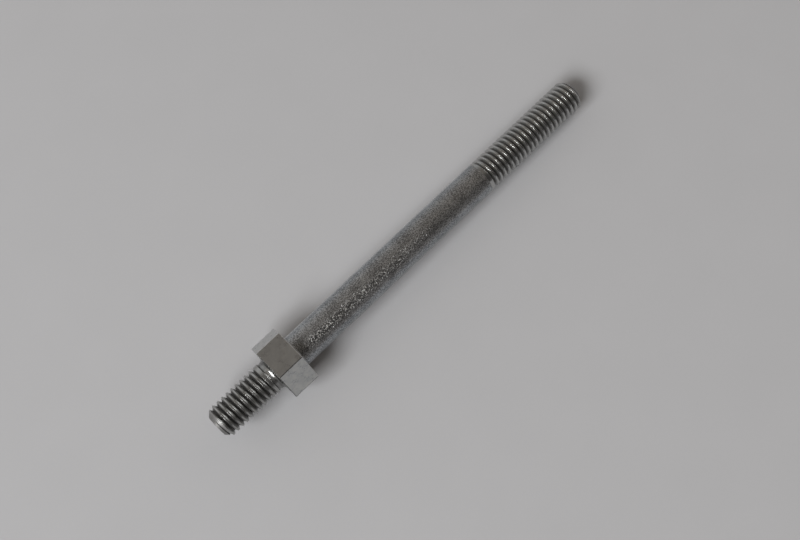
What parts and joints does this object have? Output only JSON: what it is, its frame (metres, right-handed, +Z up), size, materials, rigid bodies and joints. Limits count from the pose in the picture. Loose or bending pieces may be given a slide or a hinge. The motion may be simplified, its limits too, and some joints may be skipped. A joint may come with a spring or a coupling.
{
  "type": "hex-collar stud bolt",
  "caption": "Stud bolt with a short threaded stud, a hexagonal wrench collar and a long plain shank with a threaded end, lying on its side.",
  "frame": {"origin": "centre of the bounding box's base, where the bolt lies on the ground", "axes": "+X along the bolt towards the long thread, which leans 1.7 degrees down to the ground; +Y across the bolt; +Z up"},
  "size_m": [0.085, 0.0114, 0.01],
  "materials": {
    "zinc_plated_steel": "dull zinc plating, a little worn"
  },
  "bodies": {
    "root": {"stud_bolt": "zinc_plated_steel"}
  },
  "joints": []
}
